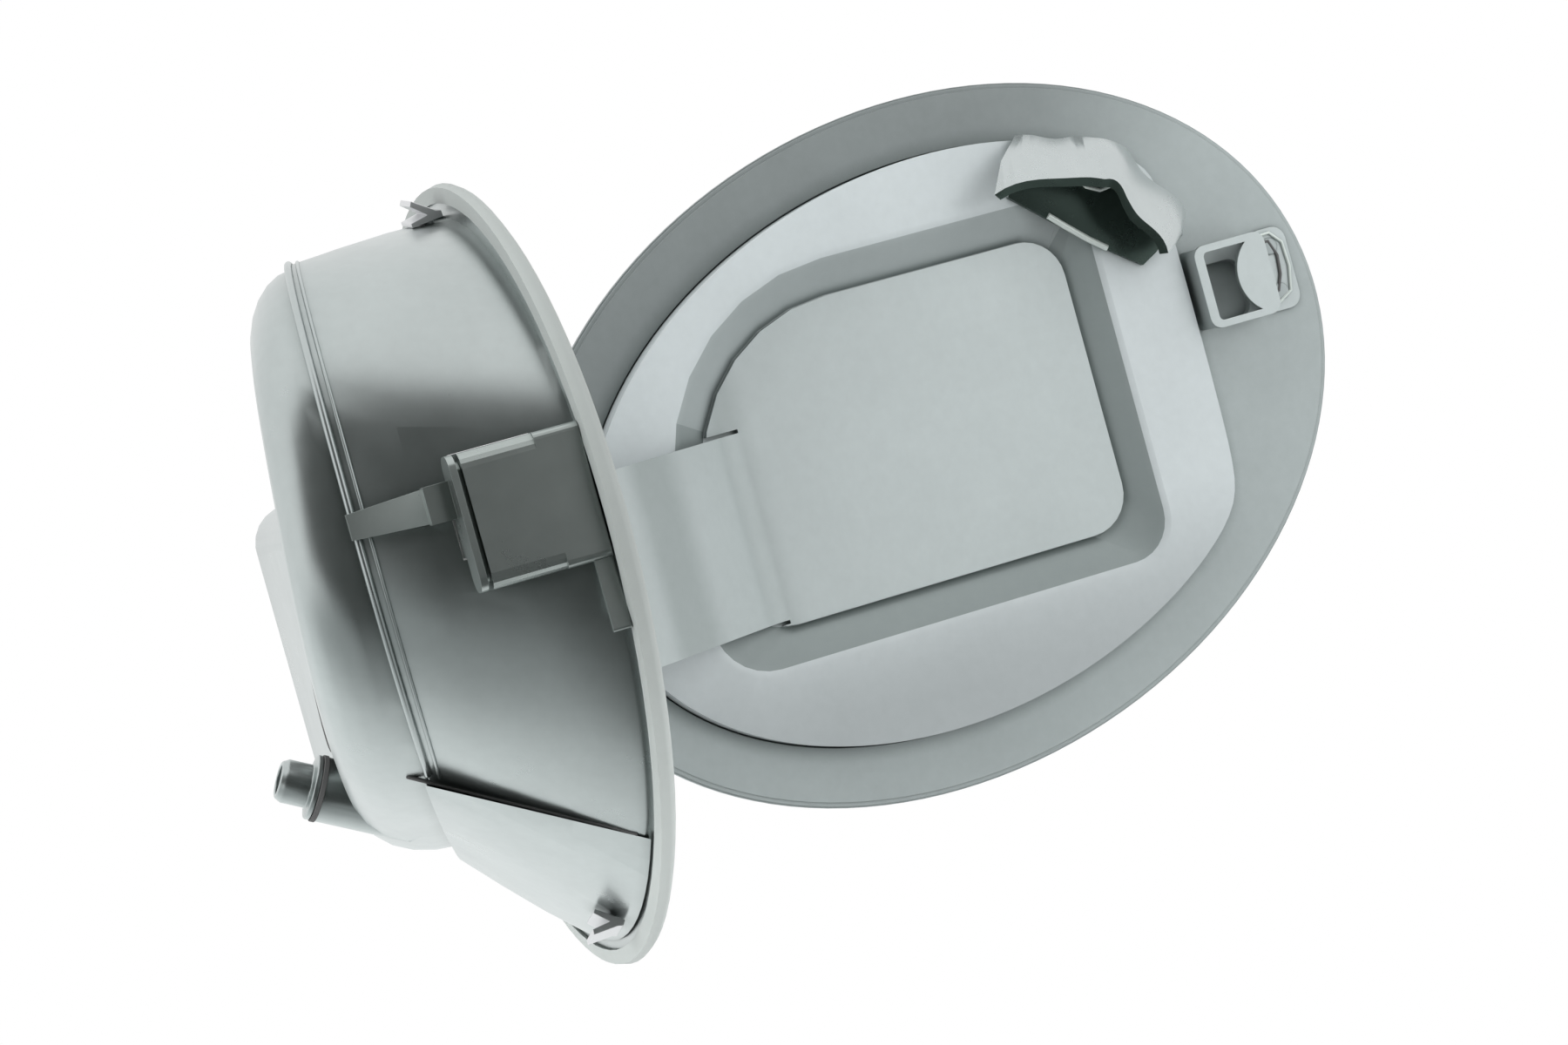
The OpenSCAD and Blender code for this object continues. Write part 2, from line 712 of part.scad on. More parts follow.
// Outline of the sunk field, moved inwards by g, in flap coordinates with +U to the free end
function field_outline(g) =
    let (
        u1 = field_end - 0.8 * g,
        w1 = field_top - g,
        w0 = -field_bottom + g,
        u0 = -field_back + g,
        big = 44 - g,
        small = 12,
        r1 = 9
    )
    concat(
        corner_arc(u1 - r1, w1 - r1, r1, 0),
        corner_arc(u0 + big, w1 - big, big, 90),
        corner_arc(u0 + small, w0 + small, small, 180),
        corner_arc(u1 - r1, w0 + r1, r1, 270)
    );

function corner_arc(u, w, r, t0, steps = 7) =
    [for (i = [0:steps]) let (t = t0 + i * 90 / steps) [-(u + r * cos(t)), w + r * sin(t)]];

// Outline of the panel: the flap's oval less the rim, cut straight near the free end
function panel_outline(g) =
    let (ring = oval(door_a - hem_w - g, door_b - hem_w - g, n = flap_n), cut = panel_cut - g, soft = 6)
    [for (p = ring) [(p[0] - cut + sqrt(pow(p[0] + cut, 2) + soft * soft)) / 2, p[1]]];

module outer_skin() {
    hole = panel_outline(-0.3);
    color([0.66, 0.7, 0.69])
        on_flap()
            difference() {
                union() {
                    plate(oval(door_a - 1.2, door_b - 1.2, n = flap_n), outer_y, hem_y);
                    plate(oval(door_a - 0.4, door_b - 0.4, n = flap_n), outer_y + 0.3, hem_y - 0.3);
                    plate(oval(door_a, door_b, n = flap_n), outer_y + 0.8, hem_y - 0.8);
                }
                plate(hole, skin_in_y, hem_y + 1);
                plate(round_rect(-lock_x - 7, lock_z - 6.5, -lock_x + 5.2, lock_z + 6.5, 3), skin_in_y, hem_y + 1);
            }
}

module inner_panel() {
    color([0.74, 0.78, 0.77])
        on_flap()
            difference() {
                plate(panel_outline(0), skin_in_y + seat, land_y);
                field_cut(0, 0);
                difference() {
                    plate(panel_outline(panel_t), skin_in_y - 1, land_y - panel_t);
                    field_cut(-panel_t, -panel_t);
                }
            }
}

// The stamped recess, grown by g sideways and by dy in depth
module field_cut(g, dy) {
    top = field_outline(g);
    low = field_outline(field_slope + g);
    y0 = floor_y + dy;
    skin([
        [for (p = low) [p[0], y0, p[1]]],
        [for (p = top) [p[0], land_y + eps, p[1]]],
        [for (p = top) [p[0], land_y + 3, p[1]]]
    ]);
}

// Gooseneck arm: a plate that fills the field's floor, a bent strap and the rolled eye
module hinge_arm() {
    plate_in = field_slope + 0.2;
    color([0.7, 0.74, 0.73])
        on_flap()
            difference() {
                union() {
                    difference() {
                        plate(field_outline(plate_in), plate_y - arm_t, plate_y);
                        box([arm_root + 0.3, plate_y - 9, arm_z0 - 0.8], [door_a, plate_y + 9, arm_z1 + 0.8]);
                    }
                    translate([0, 0, arm_z0])
                        linear_extrude(arm_w)
                            polygon(strap_outline(concat([[arm_root - 8, strap_y0]], strap_line()), arm_t));
                    rod_z(eye_r, arm_z0, arm_z1);
                }
                rod_z(pin_r + bush_t + run_fit, arm_z0 - 1, arm_z0 + 9);
                rod_z(pin_r + bush_t + run_fit, arm_z1 - 9, arm_z1 + 1);
                rod_z(pin_r + 0.4, arm_z0 - 1, arm_z1 + 1);
            }
}

// Cap holder: a fluted hood on the land that the filler cap hangs in while the tank is filled
hood_u = 36.6;
hood_w = 28;
hood_r = 28.8;
hood_lobe = 1.6;
hood_h = 12;
hood_t = 1.8;
hood_from = 9;
hood_to = 96;
hood_steps = 30;

// Foot radius of the hood at the angle t, with two lobes
function hood_foot(t) = hood_r + hood_lobe * cos(7.8 * (t - 55));

// Radius and angle of the hood's rim over the foot at the angle t: both ends of the rim spread
function hood_rim(t) = hood_foot(t) - 12.2 + 0.2 * max(0, t - 62);
function hood_rim_turn(t) = t + (t > 62 ? 1.06 * (t - 62) : t < 42 ? -0.55 * (42 - t) : 0);

module cap_holder() {
    color([0.3, 0.34, 0.32])
        on_flap()
            intersection() {
                translate([-hood_u, land_y + seat, hood_w]) {
                    skin([for (k = [0:hood_steps])
                        let (
                            t = hood_to + (hood_from - hood_to) * k / hood_steps,
                            s = hood_rim_turn(t),
                            foot = hood_foot(t),
                            rim = hood_rim(t),
                            m = (foot + rim) / 2,
                            d = [-cos(t), 0, sin(t)],
                            e = [-cos(s), 0, sin(s)],
                            c = (d + e) / norm(d + e)
                        )
                        [d * foot, c * m + [0, 0.62 * hood_h, 0], e * rim + [0, hood_h, 0],
                            e * (rim - hood_t) + [0, hood_h - 0.5, 0], c * (m - hood_t) + [0, 0.5 * hood_h, 0],
                            d * (foot - 2.6)]]);
                    hood_floor();
                }
                bowl_shell(wall_t + 1.2);
            }
}

// Base plate of the hood, with its straight front edge
module hood_floor() {
    plate(concat([for (k = [0:10]) let (t = hood_from + (hood_to - hood_from) * k / 10)
        [-(hood_foot(t) - 1.5) * cos(t), (hood_foot(t) - 1.5) * sin(t)]],
        [[9.2, 17.3], [1, 10.1], [-8.9, 1.8], [-16.6, -3.9], [-20.3, -2]]), 0, 1.2);
}

module holder_pegs() {
    color([0.75, 0.76, 0.76])
        on_flap()
            for (t = [25, 75])
                rod_y(-hood_u - 22 * cos(t), hood_w + 22 * sin(t), 1.6, land_y - panel_t - 1.4, land_y - panel_t - seat);
}

// Striker: a stamped bridge whose round tongue leaves an opening for the lock head
striker_half = 9;
striker_w = lock_z + 1.7;
foot_t = 0.7;
striker_u1 = lock_x + 10.3;
rivet_u = striker_u1 + 4.2;

module striker() {
    u0 = lock_x - 6.6;
    u1 = striker_u1;
    u2 = lock_x + 18.8;
    w0 = striker_w - striker_half;
    w1 = striker_w + striker_half;
    y_top = striker_y0 + striker_t;
    tongue_r = 9.4;
    color([0.6, 0.64, 0.62])
        on_flap()
            difference() {
                union() {
                    plate(round_rect(-u2, w0, -u1 + 0.6, w1, 3), hem_y + seat, hem_y + foot_t);
                    plate(round_rect(-u1, w0, -u0, w1, 2.5), hem_y + seat, y_top);
                }
                plate(round_rect(-u1 + 1.2, w0 - 1, -u0 - 1.2, w1 + 1, 0.5), hem_y - 1, striker_y0);
                difference() {
                    plate(round_rect(-u1 - 1, w0 + 1.6, -u0 - 2.2, w1 - 1.6, 1), hem_y + foot_t + 1, y_top + 1);
                    rod_y(-lock_x - neck_rod_r - 0.3 - tongue_r, striker_w, tongue_r, hem_y, y_top + 2);
                }
                for (w = [w0 + 4, w1 - 4])
                    rod_y(-rivet_u, w, 1.2 + run_fit, hem_y - 1, hem_y + 2);
            }
}

module striker_rivets() {
    color([0.72, 0.74, 0.74])
        on_flap()
            for (w = [striker_w - striker_half + 4, striker_w + striker_half - 4])
                translate([-rivet_u, hem_y, w])
                    rotate([-90, 0, 0])
                        union() {
                            translate([0, 0, 0.02])
                                cylinder(r = 1.2, h = foot_t + 0.1);
                            translate([0, 0, foot_t + seat])
                                cylinder(r1 = 2, r2 = 1.6, h = 0.3);
                        }
}

// Panel clips: each as [angle round the bowl, slope of the wall there, rise of the wall there]
clip_pin_r = 1.2;
clip_y = 2.4;
clip_spots = [[62, 7, 0.3], [-86, 37, trough_at(clip_y / bowl_wall)]];

// Frame of a clip, on the outside of the wall, with its Z straight out of it and its Y along it
module clip_frame(c) {
    f = clip_y / bowl_wall;
    p = oval_point(wall_a - taper_long * f, wall_b - taper_high * f, c[0], 2 + back_boxy * f);
    translate([p[0], clip_y, p[1] + back_lift * f])
        rotate([0, 90 - oval_out(wall_a, wall_b, c[0]), 0])
            rotate([-c[1], 0, 0])
                translate([0, 0, c[2]])
                    children();
}

module panel_clip(c) {
    color([0.2, 0.21, 0.21])
        clip_frame(c)
            union() {
                translate([0, 0, -wall_t - 0.4])
                    cylinder(r = clip_pin_r, h = wall_t + 1);
                translate([-4.5, 0, 0])
                    rotate([90, 0, 90])
                        linear_extrude(9)
                            polygon([[-2.2, 0.25], [3.2, 0.25], [3.2, 1], [0.2, 1.4], [2.4, 3.6], [1.9, 4.4],
                                [-1.4, 1.6], [-2.2, 1.3]]);
            }
}

module clip_upper() {
    panel_clip(clip_spots[0]);
}

module clip_lower() {
    panel_clip(clip_spots[1]);
}

filler_bowl();
flange_seal();
neck_grommet();
drain_nozzle();
drain_washer();
lock_housing();
lock_cap();
lock_spring();
lock_plunger();
lock_head();
hinge_pin();
pin_clip();
hinge_spring();
buffer_upper();
buffer_lower();
clip_upper();
clip_lower();
outer_skin();
inner_panel();
hinge_arm();
bush_upper();
bush_lower();
cap_holder();
holder_pegs();
striker();
striker_rivets();
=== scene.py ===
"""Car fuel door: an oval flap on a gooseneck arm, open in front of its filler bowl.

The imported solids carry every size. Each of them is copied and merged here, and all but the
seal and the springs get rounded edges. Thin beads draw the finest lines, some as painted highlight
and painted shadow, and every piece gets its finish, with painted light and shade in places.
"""
import json
import math

import bmesh
import bpy
from bpy.props import FloatProperty, FloatVectorProperty, PointerProperty
from bpy.types import Operator, Panel, PropertyGroup
from mathutils import Matrix, Vector
from mathutils.bvhtree import BVHTree

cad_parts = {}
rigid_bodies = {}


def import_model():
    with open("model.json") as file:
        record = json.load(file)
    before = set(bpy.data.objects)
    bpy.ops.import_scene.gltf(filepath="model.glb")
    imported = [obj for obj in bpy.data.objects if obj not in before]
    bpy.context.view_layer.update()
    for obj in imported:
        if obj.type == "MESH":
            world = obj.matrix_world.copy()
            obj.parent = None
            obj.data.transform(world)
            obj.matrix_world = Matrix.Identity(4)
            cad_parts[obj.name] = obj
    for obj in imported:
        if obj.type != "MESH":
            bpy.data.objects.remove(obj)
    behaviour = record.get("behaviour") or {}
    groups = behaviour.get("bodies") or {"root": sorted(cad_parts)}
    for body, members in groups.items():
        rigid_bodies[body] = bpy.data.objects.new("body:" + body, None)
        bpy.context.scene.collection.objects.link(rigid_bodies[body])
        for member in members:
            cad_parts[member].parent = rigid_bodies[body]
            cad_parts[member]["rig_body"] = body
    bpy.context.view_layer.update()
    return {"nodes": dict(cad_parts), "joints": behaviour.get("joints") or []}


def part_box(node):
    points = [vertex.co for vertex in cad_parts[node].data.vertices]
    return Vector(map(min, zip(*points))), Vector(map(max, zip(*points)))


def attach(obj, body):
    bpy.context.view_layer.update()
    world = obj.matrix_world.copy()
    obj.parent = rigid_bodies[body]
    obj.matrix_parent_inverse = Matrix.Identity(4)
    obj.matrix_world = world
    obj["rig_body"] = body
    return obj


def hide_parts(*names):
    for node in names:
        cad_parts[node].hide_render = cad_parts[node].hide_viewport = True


bl_info = {
    "name": "Car Fuel Door",
    "version": (1, 0, 0),
    "blender": (4, 5, 0),
    "location": "3D View > Sidebar > Fuel Door",
    "description": "Rounds, details and finishes an open car fuel door on its filler bowl",
    "category": "Object",
}

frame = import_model()

MM = 0.001
door_hinge = next(j for j in frame["joints"] if j["name"] == "door_hinge")
hinge_at = Vector(door_hinge["pos_m"])
# The flap is modelled open, so this turn shuts it
shut = Matrix.Translation(hinge_at) @ Matrix.Rotation(math.radians(door_hinge["range_deg"][0]), 4, "Z")
shut = shut @ Matrix.Translation(-hinge_at)
swing_open = shut.inverted()

# Corners of a solid's mesh that are nearer than this are one corner
WELD = 2e-6
# The usual rounding of turned and cast edges, the finer one of small parts and the widest one
TURNED_EDGE = 0.3 * MM
FINE_EDGE = 0.15 * MM
CASE_EDGE = 0.9 * MM
# Edges that turn by more degrees than this stay sharp
SHARP = 35
SHARP_SKIN = 25
SHARP_BOWL = 30
SHARP_HOOD = 40
SHARP_ROUND = 60
SHARP_CASE = 12
# Flat triangles of a solid that turn by fewer degrees than this are one face
FLAT = 0.3
# The stamped field's upper crease: how level its points are, and the degrees by which it turns
LEVEL = 0.02 * MM
CREASE_LEANS = (15, 70)

# The bowl's wall in millimetres and degrees, as the part's source draws it
WALL_LONG = 87
WALL_HIGH = 61
TAPER_LONG = 10.5
TAPER_HIGH = 14.5
WALL_DEPTH = 34
WALL_LEAN = 13
CREASE_RISE = 9
BACK_FALL = 0.17
BOXINESS = 0.8
# The crease between wall and back: the part of its round that is seen, and the line just inside it
CREASE_TURNS = range(-62, 96, 3)
CREASE_OUT = 0.1
INNER_CREASE = 0.945
# A black bead along the drain trough, a painted shadow line: its depths, and its height as a line over
# them, in millimetres
SHADOW_LINE_DEPTHS = (1, 6, 12, 18, 24, 29, 33)
SHADOW_LINE_START = -1.5
SHADOW_LINE_LOW = -42.2
SHADOW_LINE_RISE = 0.583
SHADOW_LINE_RADIUS = 0.35 * MM

# Lines on the flap, in millimetres: u to the free end, w up, at one depth each
HOOD_CENTRE = (36.6, 28)
# The hook, the hood's lip and the foot's rim are light beads of painted highlight, the foot's groove a
# black bead of painted shadow
HOOK_LINE = ((42.6, 47.4), (43.2, 45.6), (45, 43.2), (47.8, 41.8), (51.4, 42.2))
HOOK_DEPTH = 0.6
HOOD_LIP_LINE = ((34.9, 39.4), (38, 36.4), (42.4, 32.4), (46, 29.6))
HOOD_LIP_DEPTH = 0.4
FOOT_RIM_LINE = ((80.8, 23.4), (85.6, 23.6), (88, 21), (88.3, 15.6), (87.2, 10.4), (83.4, 8.3))
FOOT_GROOVE_LINE = ((81.2, 22), (84.9, 21.9), (86.2, 18.5), (85.8, 14.4), (84.4, 11.1), (81.2, 9.8))
FOOT_DEPTH = -4.6
# Walls of the striker that face the hinge get less painted shade on the hinge side of this place
STRIKER_SPLIT = -71 * MM
# How dark the painted shade of the shaded parts is, from 0 to 1
SLOPE_SHADE = 0.6
DOWN_SLOPE_SHADE = 0.42
STRIKER_SHADE = 0.7
LIGHT_WALL_SHADE = 0.25
HINGE_SIDE_SHADE = 0.5


def colour(name, words, value):
    """A colour setting."""
    return FloatVectorProperty(name=name, description=words, subtype="COLOR", size=3, min=0, max=1,
                               default=value)


def length(name, words, value):
    """A length setting in metres."""
    return FloatProperty(name=name, description=words, unit="LENGTH", min=0, max=10 * MM,
                         default=value, precision=5)


class FuelDoorFinish(PropertyGroup):
    """Colours and gloss of the finishes."""
    rim: colour("Flap rim", "Coated sheet of the flap's rim and outer side", (0.215, 0.24, 0.24))
    panel: colour("Inner panel", "Coated sheet of the stamped inner panel", (0.53, 0.575, 0.585))
    arm: colour("Arm", "Coated sheet of the gooseneck arm", (0.445, 0.49, 0.49))
    bowl: colour("Bowl", "Moulding of the filler bowl", (0.50, 0.545, 0.54))
    seal: colour("Seal", "Soft lip round the mouth", (0.34, 0.365, 0.355))
    lock: colour("Lock", "Moulded lock housing", (0.44, 0.485, 0.47))
    holder: colour("Cap holder", "Moulded cap holder", (0.52, 0.56, 0.56))
    plated: colour("Plated steel", "Pin, rivets and lock parts", (0.42, 0.45, 0.44))
    rubber: colour("Rubber", "Grommet, buffers and washer", (0.03, 0.034, 0.032))
    sheet_gloss: FloatProperty(name="Sheet roughness", description="Roughness of the coated sheet",
                               subtype="FACTOR", min=0.05, max=1, default=0.36)
    moulded_gloss: FloatProperty(name="Moulding roughness", description="Roughness of the mouldings",
                                 subtype="FACTOR", min=0.05, max=1, default=0.29)


class FuelDoorSizes(PropertyGroup):
    """Roundings that the press and the mould leave."""
    sheet_edge: length("Sheet edge", "Rounding of cut sheet edges", 0.3 * MM)
    press_radius: length("Press radius", "Rounding of the stamped creases", 1.5 * MM)
    mould_edge: length("Mould edge", "Rounding of the moulded edges", 0.5 * MM)
    crease_bead: length("Crease bead", "Radius of the bead where the bowl's wall meets its back", 0.6 * MM)


def finish_settings():
    """The colours and gloss that the user has set."""
    return bpy.context.scene.fuel_door_finish


def size_settings():
    """The roundings that the user has set."""
    return bpy.context.scene.fuel_door_sizes


# Materials

# What is left of a tone's red, green and blue where no light comes
DEEP_SHARES = (0.12, 0.16, 0.14)


def group_sockets(group, inputs, outputs):
    """Names the sockets of a shader node group and returns its input and output nodes."""
    for name, kind, default in inputs:
        socket = group.interface.new_socket(name=name, in_out="INPUT", socket_type=kind)
        socket.default_value = default
    for name, kind in outputs:
        group.interface.new_socket(name=name, in_out="OUTPUT", socket_type=kind)
    return group.nodes.new("NodeGroupInput"), group.nodes.new("NodeGroupOutput")


def maths(tree, operation, a, b=None, clamp=False):
    """A Math node on two values or sockets."""
    node = tree.nodes.new("ShaderNodeMath")
    node.operation = operation
    node.use_clamp = clamp
    for socket, value in zip(node.inputs, (a, b)):
        if value is None:
            continue
        if isinstance(value, (int, float)):
            socket.default_value = value
        else:
            tree.links.new(value, socket)
    return node.outputs[0]


def noise(tree, vector, scale, detail=3.0, roughness=0.5):
    """A noise value on a vector."""
    node = tree.nodes.new("ShaderNodeTexNoise")
    node.inputs["Scale"].default_value = scale
    node.inputs["Detail"].default_value = detail
    node.inputs["Roughness"].default_value = roughness
    tree.links.new(vector, node.inputs["Vector"])
    return node.outputs["Fac"]


def ramp(tree, value, start, end):
    """A smooth rise from 0 at start to 1 at end."""
    node = tree.nodes.new("ShaderNodeMapRange")
    node.interpolation_type = "SMOOTHSTEP"
    node.inputs["From Min"].default_value = start
    node.inputs["From Max"].default_value = end
    tree.links.new(value, node.inputs["Value"])
    return node.outputs["Result"]


def tinted(tree, factor, a, b):
    """A colour mix. a and b are sockets or colours."""
    node = tree.nodes.new("ShaderNodeMix")
    node.data_type = "RGBA"
    for socket, value in ((node.inputs["Factor"], factor), (node.inputs[6], a), (node.inputs[7], b)):
        if isinstance(value, (int, float, tuple)):
            socket.default_value = value
        else:
            tree.links.new(value, socket)
    return node.outputs[2]


def surface_group():
    """Cloudy tone, fine grain and handling marks of a satin surface."""
    group = bpy.data.node_groups.get("satin_surface")
    if group:
        return group
    group = bpy.data.node_groups.new("satin_surface", "ShaderNodeTree")
    start, end = group_sockets(
        group,
        [("Colour", "NodeSocketColor", (0.5, 0.5, 0.5, 1)), ("Cloud", "NodeSocketFloat", 0.1),
         ("Grain", "NodeSocketFloat", 0.05), ("Roughness", "NodeSocketFloat", 0.35),
         ("Marks", "NodeSocketFloat", 0.1)],
        [("Colour", "NodeSocketColor"), ("Roughness", "NodeSocketFloat"), ("Height", "NodeSocketFloat")])
    where = group.nodes.new("ShaderNodeTexCoord").outputs["Object"]
    cloud = noise(group, where, scale=38, detail=4, roughness=0.55)
    grain = noise(group, where, scale=1400, detail=2, roughness=0.6)
    fleck = noise(group, where, scale=420, detail=3, roughness=0.6)
    smear = noise(group, where, scale=90, detail=5, roughness=0.65)
    centred = maths(group, "SUBTRACT", cloud, 0.5)
    tone = maths(group, "MULTIPLY", centred, start.outputs["Cloud"])
    speckle = maths(group, "MULTIPLY", maths(group, "SUBTRACT", fleck, 0.5), start.outputs["Grain"])
    bright = maths(group, "ADD", maths(group, "ADD", 1.0, maths(group, "MULTIPLY", tone, 2.0)), speckle)
    scale = group.nodes.new("ShaderNodeVectorMath")
    scale.operation = "SCALE"
    group.links.new(start.outputs["Colour"], scale.inputs[0])
    group.links.new(bright, scale.inputs["Scale"])
    group.links.new(scale.outputs[0], end.inputs["Colour"])
    smear_and_painted_shade = maths(group, "MULTIPLY", maths(group, "SUBTRACT", smear, 0.5), start.outputs["Marks"])
    rough = maths(group, "ADD", start.outputs["Roughness"], maths(group, "MULTIPLY", smear_and_painted_shade, 2.0), clamp=True)
    group.links.new(rough, end.inputs["Roughness"])
    height = maths(group, "ADD", maths(group, "MULTIPLY", grain, 0.5), maths(group, "MULTIPLY", fleck, 0.5))
    group.links.new(height, end.inputs["Height"])
    return group


def recess_shade_group():
    """Mask of painted shade in narrow gaps and inner corners, where light fails."""
    group = bpy.data.node_groups.get("recess_shade_mask")
    if group:
        return group
    group = bpy.data.node_groups.new("recess_shade_mask", "ShaderNodeTree")
    start, end = group_sockets(
        group,
        [("Reach", "NodeSocketFloat", 3 * MM), ("Amount", "NodeSocketFloat", 0.5)],
        [("Mask", "NodeSocketFloat")])
    shade = group.nodes.new("ShaderNodeAmbientOcclusion")
    shade.samples = 2
    group.links.new(start.outputs["Reach"], shade.inputs["Distance"])
    dark = maths(group, "SUBTRACT", 1.0, shade.outputs["AO"])
    group.links.new(maths(group, "MULTIPLY", dark, start.outputs["Amount"], clamp=True), end.inputs["Mask"])
    return group


def painted_light_ramp(tree, tone, direction, start, end, gain):
    """Painted light and shade: a tone that is multiplied by gain along a direction, from start to end."""
    along = tree.nodes.new("ShaderNodeVectorMath")
    along.operation = "DOT_PRODUCT"
    along.inputs[1].default_value = direction
    tree.links.new(tree.nodes.new("ShaderNodeTexCoord").outputs["Object"], along.inputs[0])
    changed = tuple(level * gain for level in tone)
    return tinted(tree, ramp(tree, along.outputs["Value"], start, end), (*tone, 1), (*changed, 1))


def painted_shade_band(tree, start, full, full_end, end, depth):
    """Painted shade: a strip across Y that is depth dark from full to full_end and fades out to start and
    end.
    """
    place = tree.nodes.new("ShaderNodeSeparateXYZ")
    tree.links.new(tree.nodes.new("ShaderNodeTexCoord").outputs["Object"], place.inputs[0])
    strip = maths(tree, "MULTIPLY", ramp(tree, place.outputs["Y"], start, full),
                  ramp(tree, place.outputs["Y"], end, full_end))
    return maths(tree, "MULTIPLY", strip, depth)


def satin(name, tone, metallic, roughness, cloud=0.05, grain=0.05, marks=0.08, bump=0.12, recess_shade=0.6,
          reach=3 * MM, painted_light_sweep=None, painted_shade_bands=()):
    """A satin finish with cloudy tone, grain and painted shade in recesses.

    The painted light along the piece is (direction, start, end, gain): how the tone changes along it.
    Each of the painted shade strips across Y is (start, full, full end, end, depth).
    The places in both are in metres.
    """
    made = bpy.data.materials.get(name)
    if made:
        return made
    made = bpy.data.materials.new(name)
    made.use_nodes = True
    tree = made.node_tree
    shader = tree.nodes["Principled BSDF"]
    shader.inputs["Metallic"].default_value = metallic
    surface = tree.nodes.new("ShaderNodeGroup")
    surface.node_tree = surface_group()
    surface.inputs["Colour"].default_value = (*tone, 1)
    if painted_light_sweep:
        tree.links.new(painted_light_ramp(tree, tone, *painted_light_sweep), surface.inputs["Colour"])
    surface.inputs["Cloud"].default_value = cloud
    surface.inputs["Grain"].default_value = grain
    surface.inputs["Roughness"].default_value = roughness
    surface.inputs["Marks"].default_value = marks
    # Painted shade: the recess mask darkens the colour towards deep in gaps and corners
    recess_shade_node = tree.nodes.new("ShaderNodeGroup")
    recess_shade_node.node_tree = recess_shade_group()
    recess_shade_node.inputs["Reach"].default_value = reach
    recess_shade_node.inputs["Amount"].default_value = recess_shade
    # Painted shade: the face attribute shade mixes the colour towards deep
    smear_and_painted_shade = tree.nodes.new("ShaderNodeAttribute")
    smear_and_painted_shade.attribute_name = "shade"
    deep = (*(level * share for level, share in zip(tone, DEEP_SHARES)), 1)
    amount = smear_and_painted_shade.outputs["Fac"]
    for band in painted_shade_bands:
        amount = maths(tree, "ADD", amount, painted_shade_band(tree, *band), clamp=True)
    shaded = tinted(tree, amount, surface.outputs["Colour"], deep)
    dark = tinted(tree, recess_shade_node.outputs["Mask"], shaded, deep)
    tree.links.new(dark, shader.inputs["Base Color"])
    tree.links.new(surface.outputs["Roughness"], shader.inputs["Roughness"])
    bumps = tree.nodes.new("ShaderNodeBump")
    bumps.inputs["Strength"].default_value = bump
    bumps.inputs["Distance"].default_value = 0.05 * MM
    tree.links.new(surface.outputs["Height"], bumps.inputs["Height"])
    tree.links.new(bumps.outputs["Normal"], shader.inputs["Normal"])
    return made


def coated_rim():
    """Sheet of the flap's outer skin, with painted light towards its lower free end, and of the rivets."""
    s = finish_settings()
    return satin("coated_rim", s.rim, 0.35, s.sheet_gloss, cloud=0.10, grain=0.12, recess_shade=0.85,
                 reach=4 * MM, painted_light_sweep=((0, -0.6, -1), 0.02, 0.08, 1.75))


def coated_panel():
    """Sheet of the inner panel, with painted shade towards its lower edge."""
    s = finish_settings()
    return satin("coated_panel", s.panel, 0.2, s.sheet_gloss, cloud=0.06, grain=0.10,
                 painted_light_sweep=((0, 0, -1), 0.02, 0.055, 0.68))


def coated_arm():
    """Sheet of the gooseneck arm, with painted light along it and two strips of painted shade across it,
    and of the striker.
    """
    s = finish_settings()
    # Two bands of painted shade across the arm, at its bend and at its step
    bend = (-0.046, -0.051, -0.056, -0.063, 0.26)
    step = (-0.071, -0.0745, -0.0765, -0.082, 0.16)
    return satin("coated_arm", s.arm, 0.45, s.sheet_gloss, cloud=0.06, grain=0.10,
                 painted_light_sweep=((0, -1, -0.6), 0.04, 0.13, 1.16), painted_shade_bands=(bend, step))


def moulded_bowl():
    """Moulding of the bowl and the drain stub, glossy enough to mirror the room."""
    s = finish_settings()
    return satin("moulded_bowl", s.bowl, 0.94, s.moulded_gloss, cloud=0.10, grain=0.10, marks=0.05,
                 bump=0.03)


def moulded_lock():
    """Moulding of the lock case and its end plate."""
    s = finish_settings()
    return satin("moulded_lock", s.lock, 0.93, s.moulded_gloss, cloud=0.08, grain=0.10, bump=0.03)


def moulded_holder():
    """Moulding of the cap holder."""
    s = finish_settings()
    return satin("moulded_holder", s.holder, 0.75, 0.28, cloud=0.06, grain=0.08)


def painted_highlight_lip():
    """Light edges of the cap holder and the striker: a painted highlight in a lighter colour."""
    return satin("painted_highlight_lip", (0.62, 0.68, 0.65), 0.3, 0.35, cloud=0.04, grain=0.06, recess_shade=0.2)


def soft_lip():
    """Soft seal, with painted light towards the bottom."""
    s = finish_settings()
    return satin("soft_lip", s.seal, 0.0, 0.55, cloud=0.04, grain=0.06, recess_shade=0.4,
                 painted_light_sweep=((0, 0, -1), -0.01, 0.05, 1.5))


def plated_steel():
    """Plated hinge pin, pegs, panel clips, lock plunger and lock head."""
    s = finish_settings()
    return satin("plated_steel", s.plated, 0.9, 0.28, cloud=0.05, grain=0.05)


def black_rubber():
    """Rubber, and lines of painted shadow that are as dark."""
    s = finish_settings()
    return satin("black_rubber", s.rubber, 0.0, 0.6, cloud=0.1, grain=0.2, recess_shade=0.3)


def bearing_plastic():
    """Pale bushes."""
    return satin("bearing_plastic", (0.6, 0.6, 0.52), 0.0, 0.4, cloud=0.04, grain=0.06)


def spring_wire():
    """Dark wire of the springs and the pin's clip."""
    return satin("spring_wire", (0.18, 0.19, 0.19), 0.9, 0.32, cloud=0.05, grain=0.05)


# Shapes


def welded(node):
    """The mesh of a CAD solid with its loose triangles joined at their corners."""
    shape = bmesh.new()
    shape.from_mesh(frame["nodes"][node].data)
    bmesh.ops.remove_doubles(shape, verts=shape.verts, dist=WELD)
    return shape


